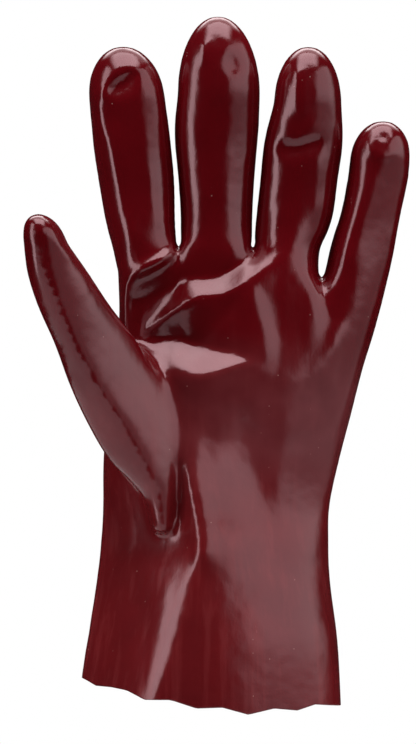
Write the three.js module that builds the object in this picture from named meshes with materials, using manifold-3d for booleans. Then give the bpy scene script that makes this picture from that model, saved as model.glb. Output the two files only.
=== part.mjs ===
// A left-hand chemical-resistant work glove: one hollow skin of dipped PVC that a hand fills from the open cuff.
// Millimetres, +Z up from the cuff's mouth to the fingertips. The palm faces -Y and the thumb is on the -X side,
// in front of the palm. The origin is the centre of the mouth, where the forearm comes out.
import * as THREE from "three";
import Module from "manifold-3d";

// Driving sizes
const WALL = 1.5;
const STALL_SIDES = 18;
const STALL_ROW_STEP = 8.5;
const STALL_ROW_EASE = 1.3;
const PALM_ROWS = 23;
const PALM_ROW_EASE = 1.25;
const CAP_ROWS = 5;
const CAP_TURN = 0.92;
const MOUTH_OVERCUT = 12;

// How the palm turns into four fingers: the height over which it takes on their form, how far its two faces part
// below the saddle between two fingers, and how many walls deeper the hollow's saddle lies
const KNUCKLES = { rise: 46, web: 7, hollow: 3 };

// Over which part of a ring, counted by the cosine or sine of its angle, the front takes on its own form, its left
// flank passes into the right one, and the folds come in
const EASE = { ahead: 0.33, flanks: 0.3, folds: [0.05, 0.75] };

// Over which share of its length a fold fades out at both ends, and how finely its route is followed
const FOLD = { fade: [-0.06, 0.16], steps: 20 };

const table = (columns, rows) =>
  rows.map((row) => Object.fromEntries(columns.split(" ").map((name, i) => [name, row[i]])));

// Palm and cuff, cut by level planes: the x of the left and right edges, the y of the palm and back faces, the x
// of the front's crest, how square its left and right flanks are (1 straight, 2 an ellipse), and the y of the edges
const CREST_COLUMNS = "z left right front back crest leftFlank rightFlank leftY rightY";
const PALM = {
  square: 2.35,
  hasCrest: true,
  rows: table(CREST_COLUMNS, [
    [0, -50.8, 50.2, -37, 36, -16, 1.3, 2.5, 0, 0],
    [28, -48.4, 48.8, -36, 35, -8.5, 1.3, 2.2, 1, 0],
    [47, -45.6, 46.4, -33, 32, -4, 1.3, 1.85, 3, 0],
    [65, -43.4, 45.4, -30, 29, -1, 1.3, 1.55, 5, 0],
    [80, -42.6, 45.8, -26, 27, -0.5, 1.4, 1.45, 4, 1],
    [97, -42.4, 49.4, -22.5, 25, -3, 1.9, 1.45, 3, 1.5],
    [115, -41.0, 54.0, -20, 23, -2, 2.3, 1.8, 1.5, 1.5],
    [134, -38.5, 58.8, -19, 21, 3, 2.35, 2.1, 1, 1],
    [148, -36.6, 63.2, -17.5, 19, 10, 2.35, 2.2, 0.8, 0.8],
    [160, -36.2, 66.4, -16, 18, 15.1, 2.35, 2.35, 1, 1],
    [176, -37.6, 70.4, -15, 16, 16.4, 2.35, 2.35, 0.5, 0.5],
  ]),
};

// The four fingers from the index to the little one, cut the same way. Each parts from the palm at the heights of
// its left and right edges. Its last row is where the round end begins, which leans over to the tip
const FINGERS = [
  {
    square: 2.05,
    parts: { left: 176, right: 182 },
    isFolded: true,
    tip: { x: -34.6, y: -5, z: 258.5 },
    rows: table("z left right front back", [
      [130, -38.5, -14.0, -15, 16],
      [158, -36.2, -13.0, -14.5, 15],
      [176, -37.8, -13.6, -13.5, 13.5],
      [190, -41.4, -14.2, -12.5, 13],
      [206, -44.2, -14.4, -12, 13],
      [221, -46.3, -15.8, -13, 13],
      [239, -47.6, -18.8, -16, 9],
    ]),
  },
  {
    square: 2.05,
    parts: { left: 182, right: 180.5 },
    isFolded: true,
    tip: { x: 1.6, y: -4, z: 270 },
    rows: table("z left right front back", [
      [130, -14.0, 13.5, -15.5, 17],
      [158, -13.0, 15.2, -15, 16.5],
      [176, -12.6, 15.6, -14, 14.5],
      [192, -12.3, 15.8, -13, 14],
      [207, -13.2, 16.6, -13, 14],
      [226, -14.8, 17.9, -14, 13],
      [241, -14.2, 17.8, -16, 11],
    ]),
  },
  {
    square: 2.05,
    parts: { left: 180.5, right: 171.5 },
    isFolded: true,
    tip: { x: 37, y: -5, z: 258.5 },
    rows: table("z left right front back", [
      [130, 13.5, 38.5, -15, 16],
      [156, 15.2, 42.0, -14.5, 15.5],
      [172, 16.4, 41.6, -14, 14.5],
      [180, 16.5, 42.0, -13, 13.6],
      [188, 16.6, 44.6, -12.5, 13],
      [206, 18.5, 48.2, -13, 13],
      [222, 20.0, 50.9, -14, 12],
      [237, 22.4, 50.4, -16, 9],
    ]),
  },
  {
    square: 2.05,
    parts: { left: 171.5, right: 164 },
    isFolded: true,
    hasCrest: true,
    tip: { x: 66.5, y: -3.5, z: 229.8 },
    rows: table(CREST_COLUMNS, [
      [126, 38.5, 57.0, -13, 15, 47, 2.05, 2.05, 1, 1],
      [146, 40.4, 62.6, -12.5, 14.5, 49.5, 2.05, 2.05, 1, 1],
      [162, 42.6, 67.0, -12.5, 13.5, 51.5, 1.8, 2.05, 1, 0],
      [178, 45.2, 70.8, -12, 12.5, 53.5, 1.7, 2.05, 1, -1],
      [186, 47.3, 72.2, -11.5, 12, 55.2, 1.7, 2.05, 1, -1],
      [194, 49.9, 73.7, -11.5, 11.5, 57.5, 1.7, 2.05, 1, -1],
      [208, 52.6, 76.6, -12, 10, 61.5, 1.8, 2.05, 0, -1],
      [215, 53.4, 77.0, -13, 9, 64, 2.05, 2.05, -1, -2],
    ]),
  },
];

// The thumb, cut the same way: it rises out of the palm's lower left side and leans out over the palm
const THUMB = {
  square: 2.1,
  hasCrest: true,
  tip: { x: -66.8, y: -54.5, z: 192.8 },
  rows: table(CREST_COLUMNS, [
    [70, -23, -14, -27, -8, -18.5, 1.5, 1.4, -22, -18],
    [84, -31, -12, -31, 0, -20.5, 1.5, 1.3, -24, -18],
    [97, -39.3, -11.5, -35, 6, -25.5, 1.5, 1.2, -27, -17],
    [112, -47.9, -12.5, -40, 11, -34.0, 1.5, 1.15, -31, -17],
    [127, -54.8, -17.5, -45.5, 7, -45.0, 1.5, 1.15, -38, -19],
    [143, -60.6, -28.0, -50, -5, -53.5, 1.5, 1.2, -43, -27],
    [158, -67.2, -38.6, -55, -22, -60.0, 1.5, 1.3, -48, -36],
    [171, -71.3, -46.6, -59, -32, -64.5, 1.6, 1.5, -52, -44],
    [182, -72.6, -54.0, -62, -39, -66.5, 1.8, 1.8, -54, -50],
  ]),
};

// Where the cuff is cut: the height of the edge along the front and the back of the mouth
const MOUTH = {
  front: table("x z", [
    [-51, 13.4],
    [-45, 10.5],
    [-39, 10.2],
    [-33, 9.2],
    [-26, 5.8],
    [-16, 5.8],
    [-6, 2.5],
    [4, 2.8],
    [14, 0],
    [24, 2.3],
    [33, 1.4],
    [40, 3.6],
    [51, 2.6],
  ]),
  back: table("x z", [
    [-51, 13.4],
    [-36, 10.5],
    [-22, 11],
    [-6, 6.5],
    [10, 7.5],
    [26, 4.2],
    [40, 5.4],
    [51, 2.6],
  ]),
};

// Folds and dents of the palm side: how far each one lifts towards -Y, its half width, and its route over x and z
const FOLDS = table("name lift reach route", [
  ["index_ridge", 1.6, 6, [[-43.6, 236], [-42.6, 228], [-35.8, 205], [-28.4, 175]]],
  ["index_pad_dent", -1.6, 5, [[-43, 236], [-38, 243], [-30, 246], [-26, 243]]],
  ["web_rim", 1.8, 3.5, [[-30.9, 177.8], [-28.4, 172], [-33.5, 156], [-30.5, 146]]],
  ["web_pocket", -3.4, 6, [[-30, 152], [-26, 157], [-15, 167], [-4, 176]]],
  ["web_ridge", 3.4, 5.5, [[-24, 148.5], [-15.2, 154.2], [-5.8, 160.8], [8.2, 163.6], [20.5, 175], [23, 184]]],
  ["web_valley_low", -3.4, 5.5, [[-28, 141.6], [-12.4, 148.6], [-2.7, 151.7], [6, 153]]],
  ["thenar_mound", 3.6, 12, [[-30, 136], [-18, 131.5], [-8, 129.5], [2, 131], [13, 135]]],
  ["ring_step", -1.6, 3.5, [[24.5, 214], [30.3, 218.6], [38, 216]]],
  ["little_crotch_dimple", -2.4, 6.5, [[43.5, 172], [43.5, 164], [42.5, 154], [41, 146]]],
  ["little_pad_dent", -1.6, 3.5, [[60, 224], [64, 219], [66, 213], [62, 209]]],
  ["wrist_arch", 1.4, 5, [[-12, 99], [-10, 92], [-7, 80], [-4.5, 66], [-5, 54]]],
  ["heel_hollow", -2.2, 10, [[13, 122], [14, 104], [17, 88], [22, 68]]],
]);

// The value of a table's column at a height, on a smooth curve through its rows
function read(rows, key, column, at) {
  const last = rows.length - 1;
  const slope = (i) => {
    const before = rows[Math.max(i - 1, 0)];
    const after = rows[Math.min(i + 1, last)];
    return (after[column] - before[column]) / (after[key] - before[key]);
  };
  if (at <= rows[0][key]) return rows[0][column];
  if (at >= rows[last][key]) return rows[last][column];
  const i = rows.findIndex((row) => row[key] > at) - 1;
  const span = rows[i + 1][key] - rows[i][key];
  const t = (at - rows[i][key]) / span;
  const rise = rows[i + 1][column] - rows[i][column];
  const start = slope(i) * span;
  const end = slope(i + 1) * span;
  return rows[i][column] + t * (start + t * (3 * rise - 2 * start - end + t * (start + end - 2 * rise)));
}

// How far the palm face stands out at a point, from every fold whose route passes near
const routes = FOLDS.map(({ route }) => {
  const places = route.map(([x, z]) => new THREE.Vector3(x, 0, z));
  return new THREE.CatmullRomCurve3(places, false, "centripetal").getSpacedPoints(FOLD.steps);
});

function foldLift(x, z) {
  const point = new THREE.Vector3(x, 0, z);
  return FOLDS.reduce((sum, { lift, reach }, f) => {
    const near = routes[f].map((p) => p.distanceTo(point));
    const closest = Math.min(...near);
    const along = near.indexOf(closest) / (near.length - 1);
    const fade = THREE.MathUtils.smoothstep(Math.min(along, 1 - along), ...FOLD.fade);
    return sum + lift * fade * Math.exp(-((closest / reach) ** 2));
  }, 0);
}

// Height of the cut edge at a point of the mouth
function edgeHeight(x, frontness) {
  return THREE.MathUtils.lerp(read(MOUTH.back, "x", "z", x), read(MOUTH.front, "x", "z", x), frontness);
}

// A point of a level cut through a limb: a rounded box between its four faces, drawn in by the wall for the hollow,
// whose front may stand out along a crest. The share shrinks the cut towards the round end of a stall
function cutPoint(limb, z, angle, inset, share = 1) {
  const { lerp, smoothstep } = THREE.MathUtils;
  const at = (column) => read(limb.rows, "z", column, z);
  const across = Math.cos(angle);
  const deep = Math.sin(angle);
  const middle = new THREE.Vector2((at("left") + at("right")) / 2, (at("front") + at("back")) / 2);
  const crest = middle.clone();
  let square = limb.square;
  if (limb.hasCrest) {
    const ahead = smoothstep(-deep, 0, EASE.ahead);
    const flank = lerp(at("leftFlank"), at("rightFlank"), smoothstep(across, -EASE.flanks, EASE.flanks));
    crest.set(lerp(middle.x, at("crest"), ahead), lerp(at("leftY"), at("rightY"), (1 + across) / 2));
    square = lerp(square, flank, ahead);
  }
  const round = (value) => Math.sign(value) * Math.abs(value) ** (2 / square);
  const reachX = across > 0 ? at("right") - crest.x : crest.x - at("left");
  const reachY = deep > 0 ? at("back") - crest.y : crest.y - at("front");
  const edge = new THREE.Vector2((reachX - inset) * round(across), (reachY - inset) * round(deep)).add(crest);
  return middle.lerp(edge, share);
}

const angleOf = (i, sides) => (2 * Math.PI * i) / sides;
const isFront = (angle) => THREE.MathUtils.smoothstep(-Math.sin(angle), ...EASE.folds);

// A skin being built: its points with the folds put in, and its faces
function newSkin() {
  const points = [];
  const faces = [];
  return {
    point(x, y, z, frontness) {
      points.push(x, y - foldLift(x, z) * frontness, z);
      return points.length / 3 - 1;
    },
    band(lower, upper) {
      lower.forEach((a, i) => {
        const j = (i + 1) % lower.length;
        faces.push(a, lower[j], upper[j], a, upper[j], upper[i]);
      });
    },
    close(ring, pole, isTop) {
      ring.forEach((a, i) => {
        const b = ring[(i + 1) % ring.length];
        faces.push(...(isTop ? [a, b, pole] : [b, a, pole]));
      });
    },
    solid() {
      const mesh = { numProp: 3, vertProperties: new Float32Array(points), triVerts: new Uint32Array(faces) };
      return new wasm.Manifold(new wasm.Mesh(mesh));
    },
  };
}

// Rings up a stall from the one it starts with, then its round end
function raiseStall(skin, stall, firstRing, startHeight, inset) {
  const turns = firstRing.map((_, i) => angleOf(i, firstRing.length));
  const top = stall.rows[stall.rows.length - 1].z;
  const rise = stall.tip.z - inset - top;
  const rows = Math.round((top - startHeight(0)) / STALL_ROW_STEP);
  const centre = cutPoint(stall, top, 0, inset, 0);
  const ringAt = (height, share, lean) =>
    turns.map((angle) => {
      const { x, y } = cutPoint(stall, height(angle), angle, inset, share);
      const shift = [(stall.tip.x - centre.x) * lean, (stall.tip.y - centre.y) * lean];
      return skin.point(x + shift[0], y + shift[1], height(angle), stall.isFolded ? isFront(angle) : 0);
    });
  let last = firstRing;
  const goOn = (ring) => {
    skin.band(last, ring);
    last = ring;
  };
  for (let row = 1; row <= rows; row++) {
    const share = (row / rows) ** STALL_ROW_EASE;
    goOn(ringAt((angle) => THREE.MathUtils.lerp(startHeight(angle), top, share), 1, 0));
  }
  for (let row = 1; row <= CAP_ROWS; row++) {
    const turn = (Math.PI / 2) * CAP_TURN * (row / CAP_ROWS);
    goOn(ringAt(() => top + rise * Math.sin(turn), Math.cos(turn), Math.sin(turn)));
  }
  skin.close(last, skin.point(stall.tip.x, stall.tip.y, top + rise, 0), true);
}

// The palm's ring of points, from the little finger's outer edge round the back to the index finger's and along
// the front. Each names the finger and the place on its first ring, and two neighbours share the one between them
function palmRing() {
  const half = STALL_SIDES / 2;
  const last = FINGERS.length - 1;
  const back = FINGERS.flatMap((_, n) => {
    const f = last - n;
    const places = Array.from({ length: half - 1 }, (_, i) => i + 1).slice(f === last ? 0 : 1);
    return places.map((i) => (i === half - 1 && f > 0 ? [[f, i], [f - 1, 1]] : [[f, i]]));
  });
  const front = FINGERS.flatMap((_, f) => {
    const places = Array.from({ length: half - 1 }, (_, i) => half + i + 1).slice(f === 0 ? 0 : 1);
    return places.map((i) => (i === STALL_SIDES - 1 && f < last ? [[f, i], [f + 1, half + 1]] : [[f, i]]));
  });
  return [[[last, 0]], ...back, [[0, half]], ...front];
}

// Height of a place on a finger's first ring: the saddle at its edges, and lower on the palm and back faces
function partingHeight(f, angle, inset) {
  const { left, right } = FINGERS[f].parts;
  const saddle = THREE.MathUtils.lerp(left, right, (1 + Math.cos(angle)) / 2);
  return saddle - KNUCKLES.web * Math.sqrt(Math.abs(Math.sin(angle))) - KNUCKLES.hollow * inset;
}

// Cuff, palm and fingers as one skin
function handSkin(inset) {
  const skin = newSkin();
  const ring = palmRing();
  const mean = (places, value) => places.reduce((sum, place) => sum + value(...place), 0) / places.length;
  const fingerPoint = (places, z) => {
    const at = (f, i) => cutPoint(FINGERS[f], z, angleOf(i, STALL_SIDES), inset);
    const y = mean(places, (f, i) => at(f, i).y);
    const isShared = places.length > 1;
    return new THREE.Vector2(mean(places, (f, i) => at(f, i).x), isShared ? y - Math.sign(y) * inset : y);
  };
  const tops = ring.map((places) => mean(places, (f, i) => partingHeight(f, angleOf(i, STALL_SIDES), inset)));

  const palmRow = (heightOf) =>
    ring.map((places, p) => {
      const angle = angleOf(p, ring.length);
      const z = heightOf(p, angle);
      const spread = THREE.MathUtils.smoothstep(z, tops[p] - KNUCKLES.rise, tops[p]);
      const { x, y } = cutPoint(PALM, z, angle, inset).lerp(fingerPoint(places, z), spread);
      return skin.point(x, y, z, isFront(angle));
    });
  const edge = (angle) => edgeHeight(cutPoint(PALM, 0, angle, inset).x, isFront(angle));
  const rows = [];
  if (inset) rows.push(palmRow(() => -MOUTH_OVERCUT));
  for (let row = 0; row <= PALM_ROWS; row++) {
    const share = 1 - (1 - row / PALM_ROWS) ** PALM_ROW_EASE;
    rows.push(palmRow((p, angle) => THREE.MathUtils.lerp(edge(angle), tops[p], share)));
  }
  rows.slice(1).forEach((row, i) => skin.band(rows[i], row));
  const foot = inset ? -MOUTH_OVERCUT : edgeHeight(0, 0);
  skin.close(rows[0], skin.point(0, 0, foot, 0), false);

  const firstRings = FINGERS.map(() => []);
  ring.forEach((places, p) => places.forEach(([f, i]) => (firstRings[f][i] = rows[rows.length - 1][p])));
  for (let f = 0; f < FINGERS.length - 1; f++) {
    const places = [[f, 0], [f + 1, STALL_SIDES / 2]];
    const z = mean(places, (g, i) => partingHeight(g, angleOf(i, STALL_SIDES), inset));
    const { x } = fingerPoint(places, z);
    const saddle = skin.point(x, 0, z, 0);
    places.forEach(([g, i]) => (firstRings[g][i] = saddle));
  }
  FINGERS.forEach((finger, f) =>
    raiseStall(skin, finger, firstRings[f], (angle) => partingHeight(f, angle, inset), inset),
  );
  return skin.solid();
}

// The thumb as a closed horn, with its foot inside the palm
function thumbSkin(inset) {
  const skin = newSkin();
  const from = THUMB.rows[0].z;
  const first = Array.from({ length: STALL_SIDES }, (_, i) => {
    const { x, y } = cutPoint(THUMB, from, angleOf(i, STALL_SIDES), inset);
    return skin.point(x, y, from, 0);
  });
  const { x, y } = cutPoint(THUMB, from, 0, inset, 0);
  skin.close(first, skin.point(x, y, from, 0), false);
  raiseStall(skin, THUMB, first, () => from, inset);
  return skin.solid();
}

const wasm = await Module();
wasm.setup();

const outside = handSkin(0).add(thumbSkin(0));
const hollow = handSkin(WALL).add(thumbSkin(WALL));
const shell = outside.subtract(hollow).getMesh();
const geometry = new THREE.BufferGeometry();
geometry.setAttribute("position", new THREE.BufferAttribute(shell.vertProperties, 3));
geometry.setIndex(new THREE.BufferAttribute(shell.triVerts, 1));
geometry.computeVertexNormals();

const glove = new THREE.Group();
const gloveShell = new THREE.Mesh(
  geometry,
  new THREE.MeshStandardMaterial({ color: 0x5e1515, roughness: 0.14, metalness: 0 }),
);
gloveShell.name = "glove_shell";
glove.add(gloveShell);

export default glove;
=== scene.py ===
import math

import bpy
import mathutils
import numpy as np
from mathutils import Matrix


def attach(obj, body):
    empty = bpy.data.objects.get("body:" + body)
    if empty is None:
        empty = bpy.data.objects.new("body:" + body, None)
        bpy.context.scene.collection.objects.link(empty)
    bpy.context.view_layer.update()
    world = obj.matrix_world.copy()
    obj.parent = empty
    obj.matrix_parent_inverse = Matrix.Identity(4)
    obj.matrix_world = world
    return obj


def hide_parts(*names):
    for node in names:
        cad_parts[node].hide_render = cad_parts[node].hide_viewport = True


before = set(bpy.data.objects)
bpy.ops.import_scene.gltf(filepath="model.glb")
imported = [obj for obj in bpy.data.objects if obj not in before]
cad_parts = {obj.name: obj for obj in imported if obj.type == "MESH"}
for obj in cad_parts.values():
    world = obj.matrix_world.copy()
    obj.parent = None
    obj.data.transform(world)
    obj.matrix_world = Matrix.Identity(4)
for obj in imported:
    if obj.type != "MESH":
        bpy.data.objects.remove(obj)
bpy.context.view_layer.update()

# The glove skin: one hollow dipping of dark red plasticised PVC in the form of a left hand, with its palm
# towards the camera (-Y) and its thumb on the -X side. The edge of its cuff is cut off unevenly. Tables and
# routes are in millimetres, and the mesh is in metres
SKIN_WALL = 0.0015
OUTER_GRAIN = 0.0012  # edge of the faces that the outer skin is made of
INNER_GRAIN = 0.0026
RING_SIDES = 48
THUMB_SIDES = 64
RING_STEP = 2  # height between the rings of a stall
ROUNDNESS = 2.05  # of a finger's cut: 2 is an ellipse, and more is squarer
PALM_ROUNDNESS = 2.35
THUMB_ROUNDNESS = 2.1
WEB_FILL = 12  # how much squarer a finger is at its foot, where a web joins it to its neighbour
WEB_HEIGHT = 3  # height over which the webs end
WEB_DROP = 7  # how much lower than its saddles a finger starts on both faces
WEB_RUN = 10  # how far down the palm the webs run out
FINGER_RUN = 46  # how far down the palm the fingers' faces run out
FLAT_TOP = 56  # below this height the crest of the cuff's front is cut off on a slope
FLAT_START = 12  # height over which that flat starts
FLAT_DEPTH = 1.0
FLAT_SLOPE = 0.62
CUFF_SPARE = 15.0  # the cuff is modelled this much too long, then cut
CUFF_RINGS = 92

# Level cuts: height, left and right edge, palm face, back face. The rows of the palm, the little finger and
# the thumb also give where the front's crest runs, how square its left and right flanks are (1 a straight
# flank, 2 an ellipse), and how far back the left and right edges lie
PALM = np.array([
    (-20, -51.6, 50.8, -37, 36, -27.5, 1.14, 2.2, 0, 0),
    (0, -50.8, 50.2, -37, 36, -22.6, 1.14, 2.2, 0, 0),
    (28, -48.4, 48.8, -36, 35, -15.0, 1.14, 2.1, 1, 0),
    (47, -45.6, 46.4, -33, 32, -10.0, 1.12, 1.85, 3, 0),
    (56, -44.4, 45.6, -32, 30, -5, 1.15, 1.65, 4, 0),
    (66, -43.4, 45.4, -31, 29, -3, 1.05, 1.55, 5, 0),
    (80, -42.6, 45.8, -26, 27, -2.5, 1.3, 1.45, 4, 1),
    (97, -42.4, 49.4, -22.5, 25, -3, 1.9, 1.45, 3, 1.5),
    (115, -41.0, 54.0, -20, 23, -2, 2.3, 2.1, 1.5, 1.5),
    (134, -38.5, 58.8, -19, 21, 3, 2.35, 2.6, 1, 1),
    (148, -36.6, 63.2, -17.5, 19, 10, 2.35, 2.9, 0.8, 0.8),
    (160, -36.2, 66.4, -16, 18, 15.1, 2.35, 2.7, 1, 1),
    (176, -37.6, 70.4, -15, 16, 16.4, 2.35, 2.35, 0.5, 0.5),
])
INDEX = np.array([
    (130, -38.5, -14.0, -15, 16),
    (158, -36.2, -13.0, -14.5, 15),
    (176, -37.8, -13.6, -13.5, 13.5),
    (190, -41.4, -14.2, -12.5, 13),
    (206, -44.2, -14.4, -12, 13),
    (221, -46.3, -15.8, -13, 13),
    (239, -48.0, -18.2, -16, 9),
])
MIDDLE = np.array([
    (130, -14.0, 13.5, -15.5, 17),
    (158, -13.0, 15.2, -15, 16.5),
    (176, -12.6, 15.6, -14, 14.5),
    (192, -12.3, 15.8, -13, 14),
    (207, -13.2, 16.6, -13, 14),
    (226, -14.7, 18.2, -14, 13),
    (241, -13.4, 18.8, -16, 11),
])
RING = np.array([
    (130, 13.5, 38.5, -15, 16),
    (156, 15.2, 42.0, -14.5, 15.5),
    (172, 16.4, 41.6, -14, 14.5),
    (180, 16.5, 42.0, -13, 13.6),
    (187, 16.6, 45.3, -12.5, 13),
    (194, 17.2, 47.4, -12.7, 13),
    (206, 18.5, 48.9, -13, 13),
    (222, 20.2, 51.0, -14, 12),
    (237, 24.0, 50.4, -16, 9),
])
LITTLE = np.array([
    (126, 38.5, 57.0, -13, 15, 47.0, 2.05, 2.05, 1, 1),
    (146, 40.4, 62.6, -12.5, 14.5, 49.5, 2.05, 2.05, 1, 1),
    (162, 42.6, 67.0, -12.5, 13.5, 51.5, 1.8, 2.05, 1, 0),
    (178, 45.2, 70.8, -12, 12.5, 53.5, 1.7, 2.05, 1, -1),
    (186, 47.3, 72.2, -11.5, 12, 55.2, 1.7, 2.05, 1, -1),
    (194, 49.9, 73.7, -11.5, 11.5, 57.5, 1.7, 2.05, 1, -1),
    (208, 52.6, 76.6, -12, 10, 61.5, 1.8, 2.05, 0, -1),
    (215, 53.4, 77.0, -13, 9, 64.0, 2.05, 2.05, -1, -2),
])
THUMB = np.array([
    (70, -22.6, -14, -25.5, -8, -18.3, 1.5, 1.2, -21, -19),
    (84, -26.8, -12, -28.5, 0, -19.8, 1.5, 1.1, -22.5, -20.5),
    (91, -32.6, -11.7, -31, 3, -22.4, 1.5, 1.1, -24, -20.5),
    (98, -39.6, -11.5, -33.5, 6, -26.0, 1.5, 1.05, -26, -20.5),
    (112, -47.9, -12.5, -38.5, 11, -34.0, 1.5, 1.05, -30, -20),
    (127, -54.8, -17.5, -45, 7, -45.0, 1.5, 1.05, -37.5, -21),
    (143, -60.6, -28.0, -50, -5, -53.5, 1.5, 1.15, -43, -27),
    (158, -67.2, -39.2, -55, -22, -60.0, 1.5, 1.3, -48, -36),
    (171, -71.2, -47.8, -59, -32, -64.5, 1.6, 1.5, -52, -44),
    (182, -72.4, -55.6, -62, -39, -66.5, 1.8, 1.8, -54, -50),
])
# Each finger's cuts, the heights at which it parts from its neighbours, and its tip
FINGERS = [
    (INDEX, (174, 180), (-34.6, -5, 259.1)),
    (MIDDLE, (180, 179.5), (2.3, -4, 270.9)),
    (RING, (179.5, 165.5), (37.4, -5, 259.1)),
    (LITTLE, (165.5, 160), (66.5, -3.5, 230.2)),
]
THUMB_TIP = (-66.8, -54.5, 193.3)
THUMB_END = (-18.5, -17.5, 70)  # where the thumb starts, inside the palm


def smoothstep(t):
    """0 up to 0, 1 from 1 on, and a soft rise between."""
    t = np.clip(t, 0, 1)
    return t * t * (3 - 2 * t)


def read(rows, column, z):
    """A column of a table of cuts at heights z, on a smooth curve through its rows."""
    key, value = rows[:, 0], rows[:, column]
    slopes = np.empty(len(key))
    slopes[1:-1] = (value[2:] - value[:-2]) / (key[2:] - key[:-2])
    slopes[0] = (value[1] - value[0]) / (key[1] - key[0])
    slopes[-1] = (value[-1] - value[-2]) / (key[-1] - key[-2])
    z = np.clip(z, key[0], key[-1])
    i = np.clip(np.searchsorted(key, z, side="right") - 1, 0, len(key) - 2)
    span = key[i + 1] - key[i]
    t = (z - key[i]) / span
    rise = value[i + 1] - value[i]
    start, end = slopes[i] * span, slopes[i + 1] * span
    return value[i] + t * (start + t * (3 * rise - 2 * start - end + t * (start + end - 2 * rise)))


def cut(rows, z, angle, square, share=1.0, filled=0):
    """Points of a level cut: four rounded corners between its left, front, right and back points."""
    left, right, front, back = (read(rows, column, z) for column in (1, 2, 3, 4))
    across, deep = np.cos(angle), np.sin(angle)
    middle_x, middle_y = (left + right) / 2, (front + back) / 2
    crest, side_y, power = middle_x, middle_y, 2 / (square + filled)
    if rows.shape[1] > 5:
        ahead = (deep < 0) + 0.0
        flank, right_flank, left_y, right_y = (read(rows, column, z) for column in (6, 7, 8, 9))
        to_right = smoothstep((across + 0.3) / 0.6)
        flank += (right_flank - flank) * to_right
        crest = middle_x + (read(rows, 5, z) - middle_x) * ahead
        side_y = left_y + (right_y - left_y) * (1 + across) / 2
        power = 2 / (square + (flank - square) * ahead + filled)
    across = np.sign(across) * np.abs(across) ** power
    deep = np.sign(deep) * np.abs(deep) ** power
    x = crest + np.where(across > 0, right - crest, crest - left) * across
    y = side_y + np.where(deep > 0, back - side_y, side_y - front) * deep
    x = middle_x + (x - middle_x) * share
    y = middle_y + (y - middle_y) * share
    return np.stack([x, y, z + 0 * angle], axis=-1)


points, faces = [], []


def put(ring):
    """Adds a ring of points and gives their numbers."""
    first = sum(len(r) for r in points)
    points.append(np.atleast_2d(ring))
    return list(range(first, first + len(points[-1])))


def band(lower, upper):
    """Faces between two rings."""
    n = len(lower)
    faces.extend((lower[i], lower[(i + 1) % n], upper[(i + 1) % n], upper[i]) for i in range(n))


def close(ring, pole, is_top):
    """Faces from a ring to the one point above or below it."""
    n = len(ring)
    for i in range(n):
        a, b = ring[i], ring[(i + 1) % n]
        faces.append((a, b, pole) if is_top else (b, a, pole))


def raise_stall(rows, tip, first, starts, square, filled=0):
    """Rings up a stall from its first one, squarer at its foot by filled, to its round end at the tip."""
    angle = np.arange(len(first)) * 2 * math.pi / len(first)
    top = rows[-1, 0]
    centre = cut(rows, np.full(1, top), np.zeros(1), square, 0)[0]
    last = first
    steps = round((top - starts.min()) / RING_STEP)
    for step in range(1, steps + 1):
        z = starts + (top - starts) * (step / steps) ** 1.15  # closer together near the foot
        fading = filled * np.exp(-(z - starts) / WEB_HEIGHT)
        ring = put(cut(rows, z, angle, square, filled=fading))
        band(last, ring)
        last = ring
    for turn in np.linspace(0, math.pi / 2, 13)[1:-1]:
        z = np.full(len(first), top + (tip[2] - top) * math.sin(turn))
        ring = cut(rows, z, angle, square, math.cos(turn))
        ring[:, :2] += (np.array(tip[:2]) - centre[:2]) * math.sin(turn)
        ring = put(ring)
        band(last, ring)
        last = ring
    close(last, put(np.array(tip, float))[0], True)


# The palm's ring of points: each names the finger and the place on its first ring that it becomes, and two
# neighbours share the ones between them
half = RING_SIDES // 2
palm_ring = [[(3, 0)]]
for f in (3, 2, 1, 0):
    for i in range(1 if f == 3 else 2, half):
        shared = i == half - 1 and f > 0
        palm_ring.append([(f, i), (f - 1, 1)] if shared else [(f, i)])
palm_ring.append([(0, half)])
for f in (0, 1, 2, 3):
    for i in range(half + 1 if f == 0 else half + 2, RING_SIDES):
        shared = i == RING_SIDES - 1 and f < 3
        palm_ring.append([(f, i), (f + 1, half + 1)] if shared else [(f, i)])


def turn_of(i):
    """The angle of a place on a finger's ring."""
    return 2 * math.pi * i / RING_SIDES


def web_fill(f, angle):
    """How much squarer a finger's foot is on the sides where a web joins it to its neighbour."""
    alone = (np.cos(angle) < 0) if f == 0 else (np.cos(angle) > 0) if f == 3 else False
    return np.where(alone, 0, WEB_FILL)


def parting(f, i):
    """Height of a place on a finger's first ring: highest at the saddles beside it, lower on both faces."""
    left, right = FINGERS[f][1]
    saddle = left + (right - left) * (1 + math.cos(turn_of(i))) / 2
    return saddle - WEB_DROP * math.sqrt(abs(math.sin(turn_of(i))))


palm_tops = np.array([np.mean([parting(f, i) for f, i in places]) for places in palm_ring])
palm_turns = np.arange(len(palm_ring)) * 2 * math.pi / len(palm_ring)
palm_reach = np.array([
    WEB_RUN + (FINGER_RUN - WEB_RUN) * abs(math.sin(turn_of(places[0][1]))) for places in palm_ring
])


def finger_point(f, i, z):
    """A place on a finger's foot, at the height z."""
    turn = turn_of(i)
    return cut(FINGERS[f][0], np.full(1, z), np.full(1, turn), ROUNDNESS, 1, web_fill(f, turn))[0]


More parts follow.
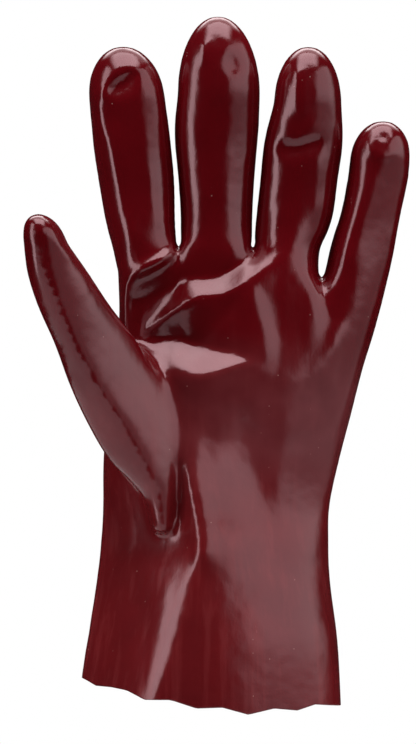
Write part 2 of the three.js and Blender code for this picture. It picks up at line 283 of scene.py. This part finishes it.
def palm_row(z):
    """The palm's ring at heights z, which turns into the outline of the four fingers."""
    spread = smoothstep((z - palm_tops + palm_reach) / palm_reach)[:, None]
    fingers = np.array([
        np.mean([finger_point(f, i, height) for f, i in places], axis=0)
        for places, height in zip(palm_ring, z)
    ])
    palm = cut(PALM, z, palm_turns, PALM_ROUNDNESS)
    flat = read(PALM, 3, z) + FLAT_DEPTH - FLAT_SLOPE * (palm[:, 0] - read(PALM, 5, z))
    on_crest = (palm_turns > math.pi) * smoothstep((FLAT_TOP - z) / FLAT_START)
    palm[:, 1] += np.maximum(flat - palm[:, 1], 0) * on_crest
    return palm * (1 - spread) + fingers * spread


below = put(palm_row(np.full(len(palm_ring), -CUFF_SPARE)))
close(below, put(np.array([0.0, 0.0, -CUFF_SPARE]))[0], False)
for step in range(1, CUFF_RINGS + 1):
    above = put(palm_row(-CUFF_SPARE + (palm_tops + CUFF_SPARE) * step / CUFF_RINGS))
    band(below, above)
    below = above
first_rings = [[0] * RING_SIDES for _ in FINGERS]
for places, number in zip(palm_ring, below):
    for f, i in places:
        first_rings[f][i] = number
for f in range(3):
    z = (parting(f, 0) + parting(f + 1, half)) / 2
    x = (read(FINGERS[f][0], 2, z) + read(FINGERS[f + 1][0], 1, z)) / 2
    saddle = put(np.array([x, 0.0, z]))[0]
    first_rings[f][0] = saddle
    first_rings[f + 1][half] = saddle
finger_numbers = []
for f, (rows, _, tip) in enumerate(FINGERS):
    starts = np.array([parting(f, i) for i in range(RING_SIDES)])
    before = sum(len(r) for r in points)
    filled = web_fill(f, np.arange(RING_SIDES) * 2 * math.pi / RING_SIDES)
    raise_stall(rows, tip, first_rings[f], starts, ROUNDNESS, filled)
    finger_numbers.append((before, sum(len(r) for r in points)))
turns = np.arange(THUMB_SIDES) * 2 * math.pi / THUMB_SIDES
starts = np.full(THUMB_SIDES, THUMB[0, 0])
foot = put(cut(THUMB, starts, turns, THUMB_ROUNDNESS))
close(foot, put(np.array(THUMB_END, float))[0], False)
raise_stall(THUMB, THUMB_TIP, foot, starts, THUMB_ROUNDNESS)

# The fingers nearly touch, so they are spread while hand and thumb become one skin, and then put back
SPREAD = (-0.014, -0.005, 0.005, 0.014)  # at the tips
SPREAD_START = 0.162
SPREAD_HEIGHT = 0.06
place = np.concatenate(points) / 1000
spread = np.zeros(len(place))
for f, sideways in enumerate(SPREAD):
    mine = slice(*finger_numbers[f])
    spread[mine] = sideways * smoothstep((place[mine, 2] - SPREAD_START) / SPREAD_HEIGHT)
is_thumb = np.arange(len(place)) >= finger_numbers[3][1]
place[:, 0] += spread
mesh = bpy.data.meshes.new("glove_skin")
mesh.from_pydata(place.tolist(), [], faces)
skin = bpy.data.objects.new("glove_skin", mesh)
bpy.context.collection.objects.link(skin)
bpy.ops.object.select_all(action="DESELECT")
skin.select_set(True)
bpy.context.view_layer.objects.active = skin


def one_skin(obj, grain, times):
    """Makes an object one closed skin of even faces, and settles it that many times."""
    bpy.context.view_layer.objects.active = obj
    modifier = obj.modifiers.new("one_skin", "REMESH")
    modifier.mode = "VOXEL"
    modifier.voxel_size = grain
    bpy.ops.object.modifier_apply(modifier="one_skin")
    modifier = obj.modifiers.new("settle", "SMOOTH")
    modifier.iterations = times
    bpy.ops.object.modifier_apply(modifier="settle")


one_skin(skin, OUTER_GRAIN, 12)

# Folds and dents of the palm side: how far each stands out, all along or at each point of its route, how
# far it reaches to the left and to the right, how sharp its crest is (0 round, 1 creased), and its route
# over x and z
FOLDS = [
    ("index ridge", 1.8, 5, 9, 0.9,
     [(-41.6, 246), (-43.6, 236), (-42.6, 228), (-39.3, 220.6),
      (-35.8, 205), (-32.3, 189.5), (-28.4, 175)]),
    ("index right band", 1.0, 6, 6, 0.3, [(-22, 248), (-19.5, 234), (-24, 215), (-18.3, 183.7)]),
    ("index tip dent", -2.6, 3.5, 4, 0.1, [(-40.5, 238), (-37, 242.5), (-31, 246.2), (-28, 246)]),
    ("index tip rim", 0.9, 2, 2, 0.5,
     [(-42.6, 237), (-41, 243), (-36, 248.3), (-30, 250.5), (-25.5, 248)]),
    ("middle tip line", 0.8, 1.5, 2, 0.8, [(-2.7, 262), (-2.7, 250)]),
    ("middle tip dent", -1.3, 3, 3, 0.1, [(5.8, 257), (8, 252), (10.5, 247)]),
    ("ring tip line", 1.0, 3, 3, 0.9, [(33.2, 252), (33.6, 240), (34, 229)]),
    ("ring right crest", 1.0, 8, 3, 0.5, [(41.5, 222), (42, 210), (41.6, 196), (40, 186)]),
    ("little left crest", 1.0, 5, 7, 0.4, [(62, 216), (60, 200), (56, 188), (52.5, 176), (51, 170)]),
    ("ring step", -2.2, 2, 4, 0.3, [(25.5, 222.5), (30.3, 219.5), (35.4, 220.2), (44, 223.3)]),
    ("little tip dent", -1.8, 2.2, 2.2, 0.1, [(64, 223.6), (69, 223.8)]),
    ("little tip line", 0.9, 2, 2, 0.5, [(60.5, 222), (62.5, 217.3), (68, 216), (72.5, 219)]),
    ("wrist trough", [-2, -4, -4.4, -3.5, -1], 3.5, 4, 0.1,
     [(-15.8, 118), (-15.8, 106), (-15.5, 92), (-15, 79), (-14.5, 69)]),
    ("wrist arch", [1.5, 3, 3.2, 3, 2, 0.5], 6, 4, 0.3,
     [(-13.5, 121), (-12, 108), (-9.2, 94), (-6.6, 80), (-5.3, 66), (-6, 54)]),
    ("heel hollow", -2.2, 8, 12, 0.0, [(13, 122), (14, 104), (17, 88), (21, 70), (26, 48)]),
    ("heel swell", 1.4, 14, 10, 0.0, [(33, 122), (31, 104), (29, 88), (27, 74)]),
    ("thumb nick", -1.6, 1.4, 1.4, 0.3, [(-53.5, 134.5), (-48, 127), (-43.5, 120)]),
    ("thumb nick above", -1.3, 1.3, 1.3, 0.3, [(-50.5, 134), (-46, 128.5)]),
    ("thumb crease", 1.0, 1.6, 3, 0.5, [(-67, 193), (-62.2, 185.6), (-57.2, 179.7), (-50.6, 175)]),
    ("cuff right fold", 1.2, 3, 3, 0.8, [(46, 39), (48, 20), (50, 0), (50.5, -8)]),
]

# Sections across the web between thumb and fingers: x, then height and lift of the web's edge, the foot of
# the step behind it, the pocket, the ridge below it, the valley and the ball of the thumb
WEB = np.array([
    (-37, 166.1, 0, 163.4, 0, 158.3, 0, 148.6, 0, 144.7, 0, 140.1, 0),
    (-33.8, 167.7, 0.6, 164.2, 0.6, 159.1, 0.7, 148.2, 0.5, 144.3, 0.3, 140.1, 0),
    (-31.1, 169.6, 0.9, 165.7, -1.5, 159.5, -3.5, 147.4, -1.5, 143.9, -2, 140.1, -1),
    (-27.6, 172, 1.6, 168.1, -2.6, 160.3, -5, 147.1, -2.8, 143.9, -3.5, 140.1, -2.5),
    (-24.1, 173.5, 2, 169.6, -2.8, 161.5, -5.3, 148.6, -1.4, 143.9, -4.4, 139.7, -2.5),
    (-20.2, 175.5, 2, 171.6, -2.6, 163, -5, 151.7, -0.2, 144.3, -4.9, 136.9, -0.5),
    (-15.6, 178.2, 1.5, 174.3, -1.8, 165, -3.8, 155.2, 1.6, 145.1, -4.6, 133.8, 3.2),
    (-10.5, 180.9, 0.8, 177.4, -0.6, 168.1, -2.4, 158.3, 3.2, 144.3, -3.2, 131.1, 4.5),
    (-5.8, 182.5, 0.2, 179, 0, 168.5, -1.4, 161.1, 3.8, 142.4, -2, 130.3, 4.8),
    (1.2, 183.6, 0, 179, 0, 168.8, -1.2, 161.8, 4.4, 141.2, -0.9, 131.5, 4.8),
    (8.2, 184.4, 0, 179.7, 0, 172, -1.2, 164.2, 4.9, 139.7, 0.4, 134.2, 4),
    (14.8, 186.7, 0, 183.6, 0, 177, -1, 168.5, 5.1, 137.7, 2, 135.4, 3.1),
    (19.5, 190.6, 0, 186.7, 0.2, 181.3, 0.2, 172, 4.4, 136.2, 2.2, 133.1, 2.6),
    (24.9, 197.2, 0, 189.5, 0.8, 183.6, 1.4, 175.1, 3.2, 135.4, 2, 130.7, 2.2),
    (31.1, 203.1, 0, 191.4, 0.6, 185.2, 1.4, 177.4, 2.2, 134.6, 1.6, 129.2, 1.7),
    (38.1, 203.1, 0, 191.4, 0.3, 185.2, 0.8, 177.4, 1.2, 134.6, 1.1, 129.2, 1.1),
    (45.9, 203.1, 0, 191.4, 0, 185.2, 0.2, 177.4, 0.4, 134.6, 0.5, 129.2, 0.5),
    (54.5, 203.1, 0, 191.4, 0, 185.2, 0, 177.4, 0, 134.6, 0, 129.2, 0),
])
WEB_EDGE = 3.5  # how far above its edge the web starts to stand out
WEB_FOOT = 106  # where the ball of the thumb runs out


def web_lift(xz):
    """How far the web's sections lift points over x and z, with straight slopes between their corners."""
    x, z = xz.T
    corners = [(read(WEB, column, x), read(WEB, column + 1, x)) for column in range(1, 13, 2)]
    corners = [(corners[0][0] + WEB_EDGE, 0 * x), *corners, (0 * x + WEB_FOOT, 0 * x)]
    total = 0 * x
    for (top, top_lift), (foot, foot_lift) in zip(corners, corners[1:]):
        between = (z <= top) & (z > foot)
        down = (top - z) / np.maximum(top - foot, 0.1)
        total[between] = (top_lift + (foot_lift - top_lift) * down)[between]
    return total


def smooth_line(route):
    """Close points along a smooth line through a route."""
    route = np.array(route, float)
    padded = np.vstack([2 * route[0] - route[1], route, 2 * route[-1] - route[-2]])
    line = []
    for a, b, c, d in zip(padded, padded[1:], padded[2:], padded[3:]):
        for t in np.linspace(0, 1, 6, endpoint=False):
            line.append(b + 0.5 * t * (c - a + t * (2 * a - 5 * b + 4 * c - d + t * (3 * (b - c) + d - a))))
    line.append(route[-1])
    return np.array(line)


def fold_lift(xz, on_thumb):
    """How far the folds lift points over x and z. One whose name starts with thumb is on the thumb only."""
    total = np.zeros(len(xz))
    for name, lift, left, right, sharp, route in FOLDS:
        line = smooth_line(np.column_stack([route, np.broadcast_to(lift, len(route))]))
        line, lifts = line[:, :2], line[:, 2]
        widest = 2.6 * max(left, right)
        inside = (xz > line.min(axis=0) - widest) & (xz < line.max(axis=0) + widest)
        near = np.flatnonzero(inside.all(axis=1))
        run = np.concatenate([[0], np.cumsum(np.linalg.norm(np.diff(line, axis=0), axis=1))])
        distance = np.full(len(near), np.inf)
        side, share = np.zeros(len(near)), np.zeros(len(near))
        for start, end, run_start, run_end in zip(line, line[1:], run, run[1:]):
            step = end - start
            gap = xz[near] - start
            t = np.clip(gap @ step / (step @ step), 0, 1)
            apart = gap - t[:, None] * step
            far = np.linalg.norm(apart, axis=1)
            closer = far < distance
            distance[closer] = far[closer]
            turned = step[0] * apart[:, 1] - step[1] * apart[:, 0]
            side[closer] = turned[closer] / np.linalg.norm(step)
            share[closer] = (run_start + t * (run_end - run_start))[closer]
        # The two reaches meet evenly where the route ends, and along it
        turn = smoothstep(0.5 + side / (distance + 1e-6) / 2)
        s = distance / (right + (left - right) * turn)
        round_top = np.exp(-s * s)
        creased = np.clip(1 - (np.sqrt(s * s + 0.01) - 0.1) / 1.6, 0, 1) ** 2
        fade = smoothstep(np.minimum(share, run[-1] - share) / (1.5 * max(left, right)) + 0.05)
        limb = on_thumb[near] if name.startswith("thumb") else 1 - on_thumb[near]
        profile = round_top * (1 - sharp) + creased * sharp
        total[near] += np.interp(share, run, lifts) * fade * limb * profile
    return total


nearby = mathutils.kdtree.KDTree(len(place))
for number, point in enumerate(place):
    nearby.insert(point, number)
nearby.balance()


def vectors(obj, what):
    """The places or normals of an object's points."""
    values = np.empty(len(obj.data.vertices) * 3)
    obj.data.vertices.foreach_get(what, values)
    return values.reshape(-1, 3)


def from_cage(obj, *fields):
    """Values of the cage's points carried over to the skin and evened out along it."""
    ends = np.empty(len(obj.data.edges) * 2, int)
    obj.data.edges.foreach_get("vertices", ends)
    ends = ends.reshape(-1, 2)
    here, there = np.concatenate([ends, ends[:, ::-1]]).T
    count = len(obj.data.vertices)
    neighbours = np.bincount(here, minlength=count)
    found = [nearby.find_n(point, 4) for point in vectors(obj, "co")]
    chosen = np.array([[index for _, index, _ in near] for near in found])
    weights = np.array([[1 / (gap + 1e-4) for _, _, gap in near] for near in found])
    weights /= weights.sum(axis=1)[:, None]
    carried = []
    for field in fields:
        value = (field[chosen] * weights).sum(axis=1)
        for _ in range(25):
            value = np.bincount(here, value[there], count) / neighbours
        carried.append(value)
    return carried


# The folds are put in while the fingers are spread, and the stretched skin is made even again. A coarser
# copy, drawn in by the wall's thickness, becomes the inner face
sideways, on_thumb = from_cage(skin, spread, is_thumb.astype(float))
spot, normal = vectors(skin, "co"), vectors(skin, "normal")
facing = smoothstep((-normal[:, 1] - 0.1) / 0.45)
flat = np.stack([spot[:, 0] - sideways, spot[:, 2]], axis=1) * 1000
lift = (fold_lift(flat, on_thumb) + web_lift(flat) * (1 - on_thumb)) / 1000
spot[:, 1] -= lift * facing
skin.data.vertices.foreach_set("co", spot.ravel())
bpy.ops.object.duplicate()
inner = bpy.context.view_layer.objects.active
inset = inner.modifiers.new("drawn_in", "DISPLACE")
inset.mid_level = 0
inset.strength = -SKIN_WALL
bpy.ops.object.modifier_apply(modifier="drawn_in")
one_skin(inner, INNER_GRAIN, 3)
one_skin(skin, OUTER_GRAIN, 4)
for obj in (skin, inner):
    spot = vectors(obj, "co")
    spot[:, 0] -= from_cage(obj, spread)[0]
    obj.data.vertices.foreach_set("co", spot.ravel())
bpy.context.view_layer.objects.active = inner
bpy.ops.object.select_all(action="DESELECT")
inner.select_set(True)
bpy.ops.object.mode_set(mode="EDIT")
bpy.ops.mesh.select_all(action="SELECT")
bpy.ops.mesh.flip_normals()
bpy.ops.object.mode_set(mode="OBJECT")

# The thumb's foot runs softly into the palm along the first line, and its ridge is rounded along the
# second: each line with its reach and how often the skin round it is smoothed
SOFT_LINES = [
    ("thumb_foot", [(-11.5, 106), (-13, 116), (-17, 128), (-24, 138)], 8, 60),
    ("thumb_ridge", [(-67, 186), (-64.5, 175), (-60, 162), (-51, 138), (-38, 117), (-26, 97)], 5, 40),
]
spot = vectors(skin, "co") * 1000
bpy.context.view_layer.objects.active = skin
for name, route, reach, times in SOFT_LINES:
    line = smooth_line(route)
    gap = np.min(np.linalg.norm(spot[:, None, [0, 2]] - line[None], axis=2), axis=1)
    share = smoothstep(1.4 - gap / reach) * (spot[:, 1] < 0)  # full over the line's inner 0.4
    soft = skin.vertex_groups.new(name=name)
    for number in np.flatnonzero(share):
        soft.add([int(number)], float(share[number]), "REPLACE")
    blend = skin.modifiers.new(name, "SMOOTH")
    blend.vertex_group = name
    blend.iterations = times
    bpy.ops.object.modifier_apply(modifier=name)
skin.select_set(True)
bpy.context.view_layer.objects.active = skin
bpy.ops.object.join()

# The cuff is cut level, its rim closed, and its lower part drawn up and down to the edge's heights over x
EDGE_REACH = 30
CUT_FRONT = np.array([
    (-51, 13.4), (-45, 10.5), (-39, 10.2), (-33, 9.2), (-26, 5.8), (-16, 5.8), (-6, 2.5), (4, 2.8), (14, 0),
    (24, 2.3), (33, 1.4), (40, 3.6), (51, 2.6),
])
CUT_BACK = np.array([
    (-51, 13.4), (-36, 10.5), (-22, 11), (-6, 6.5), (10, 7.5), (26, 4.2), (40, 5.4), (51, 2.6),
])
bpy.ops.object.mode_set(mode="EDIT")
bpy.ops.mesh.select_all(action="SELECT")
bpy.ops.mesh.bisect(plane_co=(0, 0, 0), plane_no=(0, 0, 1), clear_inner=True)
bpy.ops.mesh.select_all(action="DESELECT")
bpy.ops.mesh.select_mode(type="EDGE")
bpy.ops.mesh.select_non_manifold()
bpy.ops.mesh.bridge_edge_loops()
bpy.ops.object.mode_set(mode="OBJECT")
spot = vectors(skin, "co")
x, y, z = (spot * 1000).T
on_front = smoothstep(0.5 - y / 20)
edge = np.interp(x, *CUT_BACK.T) * (1 - on_front) + np.interp(x, *CUT_FRONT.T) * on_front
spot[:, 2] += edge / 1000 * np.clip(1 - z / EDGE_REACH, 0, 1)
skin.data.vertices.foreach_set("co", spot.ravel())
bpy.ops.object.shade_smooth()


def paint(code):
    """A linear colour from its sRGB hex code."""
    parts = [int(code[i:i + 2], 16) / 255 for i in (1, 3, 5)]
    return [c / 12.92 if c < 0.04045 else ((c + 0.055) / 1.055) ** 2.4 for c in parts] + [1]


def add(tree, kind, settings, inputs):
    """Adds a node with its settings, and with numbers or links at its inputs."""
    made = tree.nodes.new("ShaderNode" + kind)
    for key, value in settings.items():
        setattr(made, key, value)
    for key, value in inputs.items():
        if isinstance(value, bpy.types.Node):
            value = value.outputs[0]
        if isinstance(value, bpy.types.NodeSocket):
            tree.links.new(value, made.inputs[key])
        else:
            made.inputs[key].default_value = value
    return made


def per(millimetres):
    """The texture scale whose details are this large."""
    return 1000 / millimetres


# Glossy plasticised PVC: a deep oxide red dip with soft undulations and a fine grain, which give broken
# edges to its reflections. It is rougher towards the cuff, where it ran down in streaks, and its colour
# there is painted lighter and greyer as a painted sheen, streaked along those runs; it has a little dust
skin_finish = bpy.data.materials.new("dipped_pvc_gloss")
skin_finish.use_nodes = True
tree = skin_finish.node_tree
shader = tree.nodes["Principled BSDF"]
spot = add(tree, "TexCoord", {}, {}).outputs["Object"]
parts = add(tree, "SeparateXYZ", {}, {"Vector": spot})
across, height = parts.outputs["X"], parts.outputs["Z"]
at_cuff = add(tree, "MapRange", {"interpolation_type": "SMOOTHSTEP"}, {
    "Value": height, "From Min": 0.18, "From Max": 0.04})
clouds = add(tree, "TexNoise", {}, {"Vector": spot, "Scale": per(30), "Detail": 3})
upright = add(tree, "Mapping", {}, {"Vector": spot, "Scale": (1, 1, 0.06)})
runs = add(tree, "TexNoise", {}, {"Vector": upright, "Scale": per(5), "Detail": 4, "Roughness": 0.6})
run_share = add(tree, "MapRange", {}, {"Value": runs, "From Min": 0.5, "From Max": 0.75})
# Painted sheen: towards the cuff the colour is mixed towards a paler red, more along the streaks, in place
# of a soft hazy reflection there
painted_cuff_sheen = add(tree, "Math", {"operation": "MULTIPLY_ADD"}, {0: run_share, 1: 0.35, 2: 0.22})
painted_cuff_sheen = add(tree, "Math", {"operation": "MULTIPLY"}, {0: painted_cuff_sheen, 1: at_cuff})
colour = add(tree, "Mix", {"data_type": "RGBA"}, {
    "Factor": painted_cuff_sheen, 6: paint("#4b0409"), 7: paint("#702426")})
# A painted sheen: the soft reflection on the middle of the palm, beside the thumb, is painted in as a
# paler, pinkish colour, patchy over the clouds
above_palm = add(tree, "MapRange", {"interpolation_type": "SMOOTHSTEP"}, {
    "Value": height, "From Min": 0.150, "From Max": 0.120})
below_palm = add(tree, "MapRange", {"interpolation_type": "SMOOTHSTEP"}, {
    "Value": height, "From Min": 0.075, "From Max": 0.105})
beside_thumb = add(tree, "MapRange", {"interpolation_type": "SMOOTHSTEP"}, {
    "Value": across, "From Min": -0.03, "From Max": 0.01})
painted_palm_sheen = add(tree, "Math", {"operation": "MULTIPLY"}, {0: above_palm, 1: below_palm})
painted_palm_sheen = add(tree, "Math", {"operation": "MULTIPLY"}, {0: painted_palm_sheen, 1: beside_thumb})
palm_sheen_clouds = add(tree, "MapRange", {}, {
    "Value": clouds, "From Min": 0.35, "From Max": 0.65, "To Min": 0.25, "To Max": 0.6})
painted_palm_sheen = add(tree, "Math", {"operation": "MULTIPLY"}, {0: painted_palm_sheen, 1: palm_sheen_clouds})
# The painted sheen on the palm is mixed into the colour here
colour = add(tree, "Mix", {"data_type": "RGBA"}, {
    "Factor": painted_palm_sheen, 6: colour.outputs[2], 7: paint("#6a3438")})
lighter = add(tree, "MapRange", {}, {
    "Value": clouds, "From Min": 0.35, "From Max": 0.7, "To Min": 0.88, "To Max": 1.15})
colour = add(tree, "VectorMath", {"operation": "SCALE"}, {0: colour.outputs[2], "Scale": lighter})
# Specks of dust, one in seven cells of this size
cells = add(tree, "TexVoronoi", {}, {"Vector": spot, "Scale": per(3.2)})
cell_pick = add(tree, "SeparateColor", {}, {"Color": cells.outputs["Color"]})
chosen = add(tree, "Math", {"operation": "GREATER_THAN"}, {0: cell_pick.outputs["Red"], 1: 0.86})
dot = add(tree, "MapRange", {}, {"Value": cells.outputs["Distance"], "From Min": 0.09, "From Max": 0.05})
dust = add(tree, "Math", {"operation": "MULTIPLY"}, {0: chosen, 1: dot})
dust = add(tree, "Math", {"operation": "MULTIPLY"}, {0: dust, 1: 0.35})
colour = add(tree, "Mix", {"data_type": "RGBA"}, {"Factor": dust, 6: colour, 7: paint("#b9918a")})
tree.links.new(colour.outputs[2], shader.inputs["Base Color"])
worn = add(tree, "MapRange", {}, {"Value": run_share, "To Min": 0.14, "To Max": 0.22})
worn = add(tree, "Math", {"operation": "MULTIPLY_ADD"}, {0: at_cuff, 1: 0.06, 2: worn})
tree.links.new(worn.outputs[0], shader.inputs["Roughness"])
shader.inputs["IOR"].default_value = 1.53
shader.inputs["Specular Tint"].default_value = paint("#ffd4dc")
grain = add(tree, "TexNoise", {}, {"Vector": spot, "Scale": per(0.9), "Detail": 2})
swell = add(tree, "TexNoise", {}, {"Vector": spot, "Scale": per(14), "Detail": 2})
relief = add(tree, "Bump", {}, {"Height": grain, "Distance": 0.00005, "Strength": 0.5})
relief = add(tree, "Bump", {}, {"Height": runs, "Distance": 0.00007, "Strength": 0.5, "Normal": relief})
relief = add(tree, "Bump", {}, {"Height": swell, "Distance": 0.0010, "Strength": 0.5, "Normal": relief})
tree.links.new(relief.outputs[0], shader.inputs["Normal"])
skin.data.materials.clear()
skin.data.materials.append(skin_finish)

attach(skin, "root")
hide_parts("glove_shell")

# Studio: a pale floor below, whose reflection shows on the side of the thumb, white beyond it, a narrow
# bright softbox on the left, a broad dim one on the right, one overhead, and one above and behind the tips
bpy.ops.mesh.primitive_plane_add(size=1.5, location=(0, 0, -0.35), scale=(2, 1, 1))
floor = bpy.context.active_object
floor.name = "floor"
pale = bpy.data.materials.new("pale_floor")
pale.use_nodes = True
pale.node_tree.nodes["Principled BSDF"].inputs["Base Color"].default_value = paint("#cbcbcb")
pale.node_tree.nodes["Principled BSDF"].inputs["Roughness"].default_value = 0.9
floor.data.materials.append(pale)
GLOVE_MIDDLE = 0.13


def softbox(name, azimuth, elevation, distance, width, height, radiance, feather, low=1.0):
    """A rectangular lamp aimed at the glove's middle, azimuth 0 at the camera and 90 to its right. Its
    sides fade out over a share of its width, and its lower part is as many times as bright as low says."""
    a, e = math.radians(azimuth), math.radians(elevation)
    away = (math.sin(a) * math.cos(e), -math.cos(a) * math.cos(e), math.sin(e))
    lamp = bpy.data.lights.new(name, "AREA")
    lamp.shape = "RECTANGLE"
    lamp.size = width
    lamp.size_y = height
    lamp.energy = radiance * math.pi * width * height
    lamp.use_nodes = True
    tree = lamp.node_tree
    place = add(tree, "NewGeometry", {}, {}).outputs["Parametric"]
    place = add(tree, "SeparateXYZ", {}, {"Vector": place})
    left = add(tree, "MapRange", {"interpolation_type": "SMOOTHSTEP"}, {
        "Value": place.outputs["X"], "From Max": feather})
    right = add(tree, "MapRange", {"interpolation_type": "SMOOTHSTEP"}, {
        "Value": place.outputs["X"], "From Min": 1, "From Max": 1 - feather})
    sides = add(tree, "Math", {"operation": "MULTIPLY"}, {0: left, 1: right})
    lower = add(tree, "MapRange", {"interpolation_type": "SMOOTHSTEP"}, {
        "Value": place.outputs["Y"], "From Min": 0.38, "From Max": 0.58, "To Min": 1, "To Max": low})
    strength = add(tree, "Math", {"operation": "MULTIPLY"}, {0: sides, 1: lower})
    tree.links.new(strength.outputs[0], tree.nodes["Emission"].inputs["Strength"])
    holder = bpy.data.objects.new(name, lamp)
    bpy.context.collection.objects.link(holder)
    holder.location = (away[0] * distance, away[1] * distance, GLOVE_MIDDLE + away[2] * distance)
    holder.rotation_euler = (math.radians(90 - elevation), 0, a)


softbox("left_softbox", -64, 0, 1.6, 0.78, 2.6, 4.8, 0.28)
softbox("right_softbox", 64, 0, 1.6, 3.0, 2.6, 0.55, 0.24, 3.9)
softbox("rear_softbox", 180, 64, 1.6, 3.0, 1.0, 7.0, 0.25, 0.33)
softbox("top_softbox", 0, 74, 1.6, 2.4, 1.3, 6.5, 0.25)

world = bpy.data.worlds.new("studio")
bpy.context.scene.world = world
world.use_nodes = True
nodes = world.node_tree.nodes
links = world.node_tree.links
around = nodes["Background"]
around.inputs["Color"].default_value = paint("#1c1c1d")
white = nodes.new("ShaderNodeBackground")
white.inputs["Color"].default_value = paint("#ffffff")
ray = nodes.new("ShaderNodeLightPath")
mix = nodes.new("ShaderNodeMixShader")
links.new(ray.outputs["Is Camera Ray"], mix.inputs[0])
links.new(around.outputs[0], mix.inputs[1])
links.new(white.outputs[0], mix.inputs[2])
links.new(mix.outputs[0], nodes["World Output"].inputs["Surface"])

# The picture is 289.5 mm high at the glove's plane, and its centre is 132.3 mm above the mouth
CAMERA_DISTANCE = 4.0
PICTURE_HEIGHT = 0.2895
PICTURE_CENTRE = (-0.00156, 0.1323)
lens = bpy.data.cameras.new("camera")
lens.sensor_fit = "VERTICAL"
lens.sensor_height = 24
lens.lens = lens.sensor_height * CAMERA_DISTANCE / PICTURE_HEIGHT
camera = bpy.data.objects.new("camera", lens)
bpy.context.collection.objects.link(camera)
camera.location = (PICTURE_CENTRE[0], -CAMERA_DISTANCE, PICTURE_CENTRE[1])
camera.rotation_euler = (math.radians(90), 0, 0)
bpy.context.scene.camera = camera
bpy.context.scene.view_settings.view_transform = "Standard"
